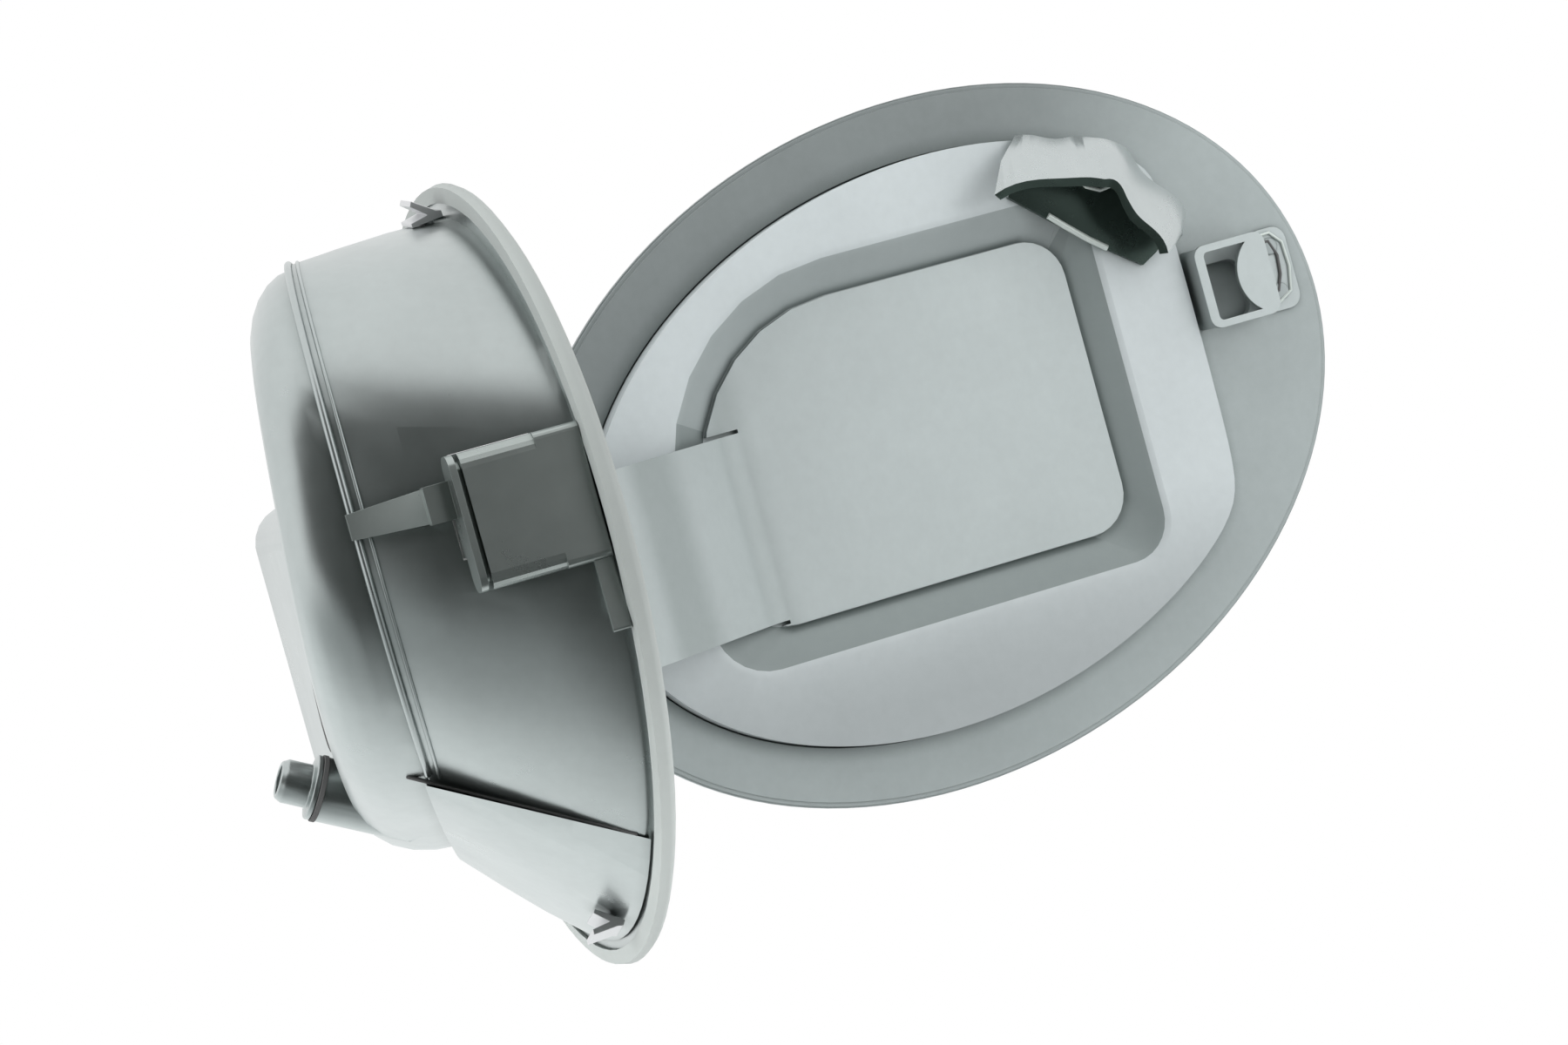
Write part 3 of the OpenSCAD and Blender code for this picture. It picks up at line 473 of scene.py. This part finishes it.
def merged(node):
    """The welded mesh of a CAD solid, with its flat triangles made one face."""
    shape = welded(node)
    bmesh.ops.dissolve_limit(shape, angle_limit=math.radians(FLAT), verts=shape.verts, edges=shape.edges)
    return shape


def piece(name, shape, body, material, edge=0.0, smooth=SHARP):
    """Makes the object of a finished bmesh and puts it on its body."""
    mesh = bpy.data.meshes.new(name)
    shape.to_mesh(mesh)
    shape.free()
    made = bpy.data.objects.new(name, mesh)
    bpy.context.scene.collection.objects.link(made)
    mesh.materials.append(material)
    mesh.shade_smooth()
    mesh.set_sharp_from_angle(angle=math.radians(smooth))
    if edge:
        bevel = made.modifiers.new("rounded_edges", "BEVEL")
        bevel.width = edge
        bevel.segments = 3
        bevel.limit_method = "ANGLE"
        bevel.angle_limit = math.radians(smooth)
        bevel.harden_normals = True
        bevel.use_clamp_overlap = True
    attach(made, body)
    return made


def dressed(node, name, material, edge=TURNED_EDGE, smooth=SHARP):
    """A rounded copy of a CAD solid that takes its place."""
    body = frame["nodes"][node]["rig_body"]
    made = piece(name, merged(node), body, material, edge, smooth)
    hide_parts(node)
    return made


def bead(name, points, radius, body, material):
    """A round bead along points."""
    line = bpy.data.curves.new(name, "CURVE")
    line.dimensions = "3D"
    line.bevel_depth = radius
    line.bevel_resolution = 4
    line.use_fill_caps = True
    spline = line.splines.new("POLY")
    spline.points.add(len(points) - 1)
    for target, point in zip(spline.points, points):
        target.co = (*point, 1)
    drawn = bpy.data.objects.new(name + "_line", line)
    bpy.context.scene.collection.objects.link(drawn)
    bpy.context.view_layer.update()
    shape = bmesh.new()
    shape.from_mesh(drawn.to_mesh())
    drawn.to_mesh_clear()
    bpy.data.objects.remove(drawn)
    bpy.data.curves.remove(line)
    bmesh.ops.remove_doubles(shape, verts=shape.verts, dist=0.5 * WELD)
    bmesh.ops.recalc_face_normals(shape, faces=shape.faces)
    return piece(name, shape, body, material)


def surface_of(node):
    """A tree for finding points on a CAD solid."""
    shape = merged(node)
    tree = BVHTree.FromBMesh(shape)
    shape.free()
    return tree


def on_flap(point):
    """A point of the shut flap, in metres, at its open place."""
    return swing_open @ Vector(point)


def flap_point(u, w, y):
    """A point of the flap in millimetres: u to the free end, w up, y the depth on the shut flap."""
    return on_flap((-u * MM, y * MM, w * MM))


def flap_line(line, depth):
    """The points of a line on the flap, all at one depth."""
    return [flap_point(u, w, depth) for u, w in line]


def shade_faces(shape, amount):
    """Stores how much painted shade each face gets. amount takes a face and gives 0 to 1."""
    layer = shape.faces.layers.float.new("shade")
    for face in shape.faces:
        face[layer] = amount(face)


def bowl_point(part, turn, out=0.0):
    """A point on the bowl's wall: part runs from the mouth to the crease, turn in degrees round it."""
    boxy = 2 / (2 + BOXINESS * part)
    c, s = math.cos(math.radians(turn)), math.sin(math.radians(turn))
    p = -(WALL_LONG - TAPER_LONG * part + out) * math.copysign(abs(c) ** boxy, c)
    q = (WALL_HIGH - TAPER_HIGH * part + out) * math.copysign(abs(s) ** boxy, s)
    c, s = math.cos(math.radians(WALL_LEAN)), math.sin(math.radians(WALL_LEAN))
    x = p * c + q * s
    z = q * c - p * s + CREASE_RISE * part
    fall = BACK_FALL * part * (x + WALL_LONG - TAPER_LONG)
    return Vector((x, WALL_DEPTH * part - fall, z)) * MM


class FuelDoorOperator:
    """Shared settings of the operators."""
    bl_options = {"REGISTER", "UNDO"}


class FUELDOOR_OT_flap(FuelDoorOperator, Operator):
    """Flap: the hemmed outer skin and the stamped inner panel"""
    bl_idname = "fuel_door.flap"
    bl_label = "Flap"

    def execute(self, context):
        sizes = size_settings()
        dressed("outer_skin", "flap_skin", coated_rim(), edge=0.5 * MM, smooth=SHARP_SKIN)
        shape = merged("inner_panel")
        # Painted shade on the stamped slopes
        shade_faces(shape, slope_shade)
        soften_field(shape, sizes.press_radius)
        made = piece("flap_panel", shape, "door", coated_panel(), edge=sizes.sheet_edge)
        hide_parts("inner_panel")
        return {"FINISHED"}


def soften_field(shape, radius):
    """Rounds the upper crease of the stamped field, which the press leaves soft."""
    top = max((shut @ v.co).y for v in shape.verts)
    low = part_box("inner_panel")
    crease = []
    for edge in shape.edges:
        a, b = (shut @ v.co for v in edge.verts)
        if abs(a.y - top) > LEVEL or abs(b.y - top) > LEVEL:
            continue
        faces = edge.link_faces
        if len(faces) != 2:
            continue
        lean = math.degrees(faces[0].normal.angle(faces[1].normal))
        if CREASE_LEANS[0] < lean < CREASE_LEANS[1]:
            crease.append(edge)
    if not crease:
        raise RuntimeError(f"the stamped field has no crease at {top:.4f} in {low}")
    bmesh.ops.bevel(shape, geom=crease, offset=radius, segments=4, affect="EDGES", profile=0.5, material=-1)


class FUELDOOR_OT_arm(FuelDoorOperator, Operator):
    """Gooseneck arm with its plate and rolled eye"""
    bl_idname = "fuel_door.arm"
    bl_label = "Hinge arm"

    def execute(self, context):
        dressed("hinge_arm", "gooseneck_arm", coated_arm(), edge=size_settings().sheet_edge)
        return {"FINISHED"}


class FUELDOOR_OT_hinge(FuelDoorOperator, Operator):
    """Hinge pin, its clip, the spring and the bushes"""
    bl_idname = "fuel_door.hinge"
    bl_label = "Hinge parts"

    def execute(self, context):
        dressed("hinge_pin", "hinge_pin_turned", plated_steel())
        dressed("pin_clip", "pin_clip_sprung", spring_wire(), edge=0.12 * MM)
        dressed("hinge_spring", "hinge_spring_wound", spring_wire(), edge=0, smooth=SHARP_ROUND)
        dressed("bush_upper", "bush_upper_moulded", bearing_plastic(), edge=FINE_EDGE)
        dressed("bush_lower", "bush_lower_moulded", bearing_plastic(), edge=FINE_EDGE)
        return {"FINISHED"}


class FUELDOOR_OT_bowl(FuelDoorOperator, Operator):
    """Filler bowl with its flange and hinge pocket, the beads along its crease and a black bead of painted
    shadow along the trough
    """
    bl_idname = "fuel_door.bowl"
    bl_label = "Filler bowl"

    def execute(self, context):
        sizes = size_settings()
        dressed("filler_bowl", "bowl_moulding", moulded_bowl(), edge=sizes.mould_edge, smooth=SHARP_BOWL)
        crease = [bowl_point(1, turn, CREASE_OUT) for turn in CREASE_TURNS]
        bead("crease_bead", crease, sizes.crease_bead, "housing", moulded_bowl())
        inner = [bowl_point(INNER_CREASE, turn) for turn in CREASE_TURNS]
        bead("crease_bead_inner", inner, 0.5 * sizes.crease_bead, "housing", moulded_bowl())
        wall = surface_of("filler_bowl")
        # A black bead of painted shadow along the drain trough
        shadow_line = [on_wall(wall, y, SHADOW_LINE_LOW + SHADOW_LINE_RISE * (y - SHADOW_LINE_START)) for y in SHADOW_LINE_DEPTHS]
        bead("trough_shadow_line", shadow_line, SHADOW_LINE_RADIUS, "housing", black_rubber())
        return {"FINISHED"}


def on_wall(tree, y, z):
    """The point where a ray from the latch side meets a solid, at y and z in millimetres."""
    well_outside = -0.2
    hit = tree.ray_cast(Vector((well_outside, y * MM, z * MM)), Vector((1, 0, 0)))[0]
    if hit is None:
        raise RuntimeError(f"nothing at y {y}, z {z}")
    return hit


class FUELDOOR_OT_seal(FuelDoorOperator, Operator):
    """Soft lip round the mouth"""
    bl_idname = "fuel_door.seal"
    bl_label = "Flange seal"

    def execute(self, context):
        # Its flat ring stays many faces: as one, the face would lie across the mouth
        shape = welded("flange_seal")
        bmesh.ops.join_triangles(shape, faces=shape.faces, angle_face_threshold=math.radians(30),
                                 angle_shape_threshold=math.radians(60))
        made = piece("seal_lip", shape, "housing", soft_lip(), smooth=SHARP_ROUND)
        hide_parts("flange_seal")
        return {"FINISHED"}


class FUELDOOR_OT_lock(FuelDoorOperator, Operator):
    """Lock housing, end plate, plunger, head and spring"""
    bl_idname = "fuel_door.lock"
    bl_label = "Lock"

    def execute(self, context):
        dressed("lock_housing", "lock_case", moulded_lock(), edge=CASE_EDGE, smooth=SHARP_CASE)
        dressed("lock_cap", "lock_end_plate", moulded_lock(), edge=0.35 * MM)
        dressed("lock_plunger", "lock_plunger_turned", plated_steel())
        dressed("lock_head", "lock_head_cast", plated_steel())
        dressed("lock_spring", "lock_spring_wound", spring_wire(), edge=0, smooth=SHARP_ROUND)
        return {"FINISHED"}


class FUELDOOR_OT_holder(FuelDoorOperator, Operator):
    """Fluted cap holder with painted shade on its inner side, its light lips of painted highlight, and its
    pegs
    """
    bl_idname = "fuel_door.holder"
    bl_label = "Cap holder"

    def execute(self, context):
        shape = merged("cap_holder")
        shade_faces(shape, hood_shade(shape))
        made = piece("holder_hood", shape, "door", moulded_holder(), edge=0.4 * MM,
                     smooth=SHARP_HOOD)
        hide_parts("cap_holder")
        for name, line, depth, radius in (("holder_hook", HOOK_LINE, HOOK_DEPTH, 0.45 * MM),
                                          ("holder_lip", HOOD_LIP_LINE, HOOD_LIP_DEPTH, 0.7 * MM)):
            bead(name, flap_line(line, depth), radius, "door", painted_highlight_lip())
        dressed("holder_pegs", "holder_peg_heads", plated_steel(), edge=0.2 * MM)
        return {"FINISHED"}


def hood_shade(shape):
    """The rule of painted shade on the hood's inner side, its floor and rim, and a little on the side to
    the hinge.

    A face is an inner one if nothing of the hood lies between it and the hood's centre.
    """
    walls = BVHTree.FromBMesh(shape)

    def amount(face):
        centre = face.calc_center_median()
        at = shut @ centre
        facing = shut.to_3x3() @ face.normal
        start = centre + face.normal * 0.05 * MM
        way = on_flap((-HOOD_CENTRE[0] * MM, at.y, HOOD_CENTRE[1] * MM)) - start
        if facing.y > 0.9 or walls.ray_cast(start, way.normalized(), way.length)[0] is None:
            return 1.0
        return HINGE_SIDE_SHADE * max(0.0, facing.x)

    return amount


class FUELDOOR_OT_striker(FuelDoorOperator, Operator):
    """Stamped striker with painted shade on its walls, the two lines on its foot as painted highlight and
    painted shadow, and its rivets
    """
    bl_idname = "fuel_door.striker"
    bl_label = "Striker"

    def execute(self, context):
        shape = merged("striker")
        shade_faces(shape, striker_painted_shade)
        made = piece("striker_bridge", shape, "door", coated_arm(), edge=0.4 * MM)
        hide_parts("striker")
        dressed("striker_rivets", "striker_rivet_heads", coated_rim(), edge=FINE_EDGE)
        # The foot's rim is a light bead of painted highlight, its groove a black bead of painted shadow
        for name, line, finish in (("striker_rim", FOOT_RIM_LINE, painted_highlight_lip()),
                                   ("striker_groove", FOOT_GROOVE_LINE, black_rubber())):
            bead(name, flap_line(line, FOOT_DEPTH), 0.35 * MM, "door", finish)
        return {"FINISHED"}


def slope_shade(face):
    """Paints shade on the stamped slopes of the inner panel, those that face down a little less."""
    facing = shut.to_3x3() @ face.normal
    if not 0.2 < abs(facing.y) < 0.9:
        return 0.0
    return DOWN_SLOPE_SHADE if facing.z < -0.3 else SLOPE_SHADE


def striker_painted_shade(face):
    """Paints shade on the striker's side walls and what lies under its bridge, but not on its flat outer
    faces.
    """
    centre = shut @ face.calc_center_median()
    facing = shut.to_3x3() @ face.normal
    if facing.y > 0.9:
        return 0.0
    light_wall = facing.x > 0.5 and centre.x > STRIKER_SPLIT
    return LIGHT_WALL_SHADE if light_wall else STRIKER_SHADE


class FUELDOOR_OT_rubber(FuelDoorOperator, Operator):
    """Neck grommet, drain washer and buffers"""
    bl_idname = "fuel_door.rubber"
    bl_label = "Rubber parts"

    def execute(self, context):
        dressed("neck_grommet", "grommet_ring", black_rubber())
        dressed("drain_washer", "drain_washer_ring", black_rubber(), edge=FINE_EDGE)
        dressed("buffer_upper", "buffer_upper_soft", black_rubber())
        dressed("buffer_lower", "buffer_lower_soft", black_rubber())
        return {"FINISHED"}


class FUELDOOR_OT_drain(FuelDoorOperator, Operator):
    """Drain nozzle"""
    bl_idname = "fuel_door.drain"
    bl_label = "Drain nozzle"

    def execute(self, context):
        dressed("drain_nozzle", "drain_stub_moulded", moulded_bowl())
        return {"FINISHED"}


class FUELDOOR_OT_clips(FuelDoorOperator, Operator):
    """Spring clips that hold the bowl in the panel"""
    bl_idname = "fuel_door.clips"
    bl_label = "Panel clips"

    def execute(self, context):
        dressed("clip_upper", "clip_upper_sprung", plated_steel(), edge=0.2 * MM)
        dressed("clip_lower", "clip_lower_sprung", plated_steel(), edge=0.2 * MM)
        return {"FINISHED"}


# Stage

# The camera of the photograph, fitted to its outlines
camera_at = Vector((-0.694367, 0.121192, 0.024622))
camera_right = Vector((-0.23877435, -0.9337987, -0.26647101))
camera_up = Vector((-0.02843134, -0.26756808, 0.9631194))
camera_ahead = Vector((0.97065878, -0.23754433, -0.03733924))
PHOTO_LENS = 95.223
PHOTO_SENSOR = 36
NEAREST_SEEN = 0.01

# The floor, in metres
FLOOR_RADIUS = 0.45
FLOOR_HEIGHT = -0.24

# Each lamp: name, place, what it looks at, its sides in metres and its power in watts
SOFTBOXES = (
    ("side_softbox", (-0.35, -0.75, -0.35), (0.0, -0.12, 0.0), 0.5, 0.5, 2.2),
    ("key_softbox", (-0.75, -0.85, 0.35), (0.02, 0.0, 0.0), 0.9, 0.9, 6.5),
    ("top_softbox", (-0.15, 0.15, 1.0), (0.0, 0.0, 0.0), 1.0, 0.8, 8),
    ("low_softbox", (-0.65, 0.35, -0.75), (0.0, 0.0, 0.0), 0.6, 0.6, 4),
    ("back_softbox", (-0.35, 0.95, 0.15), (-0.02, 0.04, 0.0), 0.8, 0.8, 7),
)

WHITE = (1, 1, 1, 1)
EVEN_LIGHT = (0.42, 0.43, 0.43, 1)
DARK_SIDE = (0.01, 0.014, 0.012, 1)
GROUND_NEAR = (0.36, 0.38, 0.38, 1)
GROUND_FAR = (1.1, 1.12, 1.12, 1)
# Where the room's parts start and are whole, along directions of unit length
LOW_PART = (0.1, -0.3)
NEAR_TO_FAR = (-0.6, 0.8)
DARK_NEAR = (-0.30, -0.48)
DARK_INWARD = (-0.40, -0.20)
DARK_SHORT_OF = (0.9, 0.55)


class FUELDOOR_OT_stage(FuelDoorOperator, Operator):
    """Camera at the photograph's angle, floor, world and lamps"""
    bl_idname = "fuel_door.stage"
    bl_label = "Stage"

    def execute(self, context):
        context.scene.view_settings.view_transform = "Standard"
        make_camera(context.scene)
        make_world(context.scene)
        make_floor(context.scene)
        for lamp in SOFTBOXES:
            softbox(*lamp)
        return {"FINISHED"}


def make_camera(scene):
    """The camera that took the photograph."""
    lens = bpy.data.cameras.new("photo_camera")
    lens.lens = PHOTO_LENS
    lens.sensor_width = PHOTO_SENSOR
    lens.clip_start = NEAREST_SEEN
    camera = bpy.data.objects.new("photo_camera", lens)
    turn = Matrix((camera_right, camera_up, -camera_ahead)).transposed().to_4x4()
    camera.matrix_world = Matrix.Translation(camera_at) @ turn
    scene.collection.objects.link(camera)
    scene.camera = camera


def make_world(scene):
    """White to the camera, even to plain light, and a room with a dark side to reflections."""
    world = bpy.data.worlds.new("studio")
    scene.world = world
    world.use_nodes = True
    tree = world.node_tree
    sky = tree.nodes["Background"]
    path = tree.nodes.new("ShaderNodeLightPath")
    where = tree.nodes.new("ShaderNodeSeparateXYZ")
    tree.links.new(tree.nodes.new("ShaderNodeTexCoord").outputs["Generated"], where.inputs[0])
    low = ramp(tree, where.outputs["Z"], *LOW_PART)
    leaning = maths(tree, "ADD", where.outputs["X"], maths(tree, "MULTIPLY", where.outputs["Z"], 0.3))
    near = ramp(tree, leaning, *DARK_NEAR)
    inward = ramp(tree, where.outputs["Y"], *DARK_INWARD)
    beyond = maths(tree, "ADD", where.outputs["Y"], maths(tree, "MULTIPLY", where.outputs["Z"], -0.7))
    short = ramp(tree, beyond, *DARK_SHORT_OF)
    dark = maths(tree, "MULTIPLY", maths(tree, "MULTIPLY", near, inward), short)
    ground = tinted(tree, ramp(tree, where.outputs["X"], *NEAR_TO_FAR), GROUND_NEAR, GROUND_FAR)
    room = tinted(tree, low, WHITE, ground)
    room = tinted(tree, dark, room, DARK_SIDE)
    mirrored = maths(tree, "MAXIMUM", path.outputs["Is Glossy Ray"], path.outputs["Is Transmission Ray"])
    seen = tinted(tree, mirrored, EVEN_LIGHT, room)
    final = tinted(tree, path.outputs["Is Camera Ray"], seen, WHITE)
    tree.links.new(final, sky.inputs["Color"])
    sky.inputs["Strength"].default_value = 1


def make_floor(scene):
    """A pale round floor under the object."""
    shape = bmesh.new()
    bmesh.ops.create_circle(shape, cap_ends=True, radius=FLOOR_RADIUS, segments=96,
                            matrix=Matrix.Translation((0, 0, FLOOR_HEIGHT)))
    mesh = bpy.data.meshes.new("floor")
    shape.to_mesh(mesh)
    shape.free()
    floor = bpy.data.objects.new("floor", mesh)
    scene.collection.objects.link(floor)
    pale = bpy.data.materials.new("pale_floor")
    pale.use_nodes = True
    tree = pale.node_tree
    shader = tree.nodes["Principled BSDF"]
    shader.inputs["Roughness"].default_value = 0.9
    where = tree.nodes.new("ShaderNodeTexCoord").outputs["Object"]
    cloud = noise(tree, where, scale=60, detail=4)
    paper = tinted(tree, cloud, (0.84, 0.84, 0.84, 1), (0.88, 0.88, 0.88, 1))
    tree.links.new(paper, shader.inputs["Base Color"])
    mesh.materials.append(pale)
    floor.visible_glossy = False


def softbox(name, place, target, wide, high, power):
    """A rectangular lamp that looks at a point."""
    lamp = bpy.data.lights.new(name, "AREA")
    lamp.shape = "RECTANGLE"
    lamp.size = wide
    lamp.size_y = high
    lamp.energy = power
    made = bpy.data.objects.new(name, lamp)
    away = Vector(place) - Vector(target)
    made.matrix_world = Matrix.Translation(place) @ away.to_track_quat("Z", "Y").to_matrix().to_4x4()
    made.visible_glossy = False
    bpy.context.scene.collection.objects.link(made)


class FUELDOOR_PT_panel(Panel):
    """Lists the steps and settings of the fuel door"""
    bl_idname = "FUELDOOR_PT_panel"
    bl_label = "Fuel Door"
    bl_space_type = "VIEW_3D"
    bl_region_type = "UI"
    bl_category = "Fuel Door"

    def draw(self, context):
        for group in (context.scene.fuel_door_sizes, context.scene.fuel_door_finish):
            box = self.layout.box()
            for name in group.__annotations__:
                box.prop(group, name)
        for step in STEPS:
            self.layout.operator(step.bl_idname)


STEPS = (FUELDOOR_OT_stage, FUELDOOR_OT_flap, FUELDOOR_OT_arm, FUELDOOR_OT_hinge, FUELDOOR_OT_bowl,
         FUELDOOR_OT_seal, FUELDOOR_OT_lock, FUELDOOR_OT_holder, FUELDOOR_OT_striker,
         FUELDOOR_OT_rubber, FUELDOOR_OT_drain, FUELDOOR_OT_clips)
CLASSES = (FuelDoorFinish, FuelDoorSizes, *STEPS, FUELDOOR_PT_panel)


def register():
    """Adds the operators, the panel and the settings."""
    for item in CLASSES:
        bpy.utils.register_class(item)
    bpy.types.Scene.fuel_door_finish = PointerProperty(type=FuelDoorFinish)
    bpy.types.Scene.fuel_door_sizes = PointerProperty(type=FuelDoorSizes)


def unregister():
    """Takes them away again."""
    del bpy.types.Scene.fuel_door_sizes
    del bpy.types.Scene.fuel_door_finish
    for item in reversed(CLASSES):
        bpy.utils.unregister_class(item)


def main():
    """Builds the scene step by step."""
    register()
    for step in (bpy.ops.fuel_door.stage, bpy.ops.fuel_door.flap, bpy.ops.fuel_door.arm,
                 bpy.ops.fuel_door.hinge, bpy.ops.fuel_door.bowl, bpy.ops.fuel_door.seal,
                 bpy.ops.fuel_door.lock, bpy.ops.fuel_door.holder, bpy.ops.fuel_door.striker,
                 bpy.ops.fuel_door.rubber, bpy.ops.fuel_door.drain, bpy.ops.fuel_door.clips):
        step()
    bpy.context.view_layer.update()


if __name__ == "__main__":
    main()
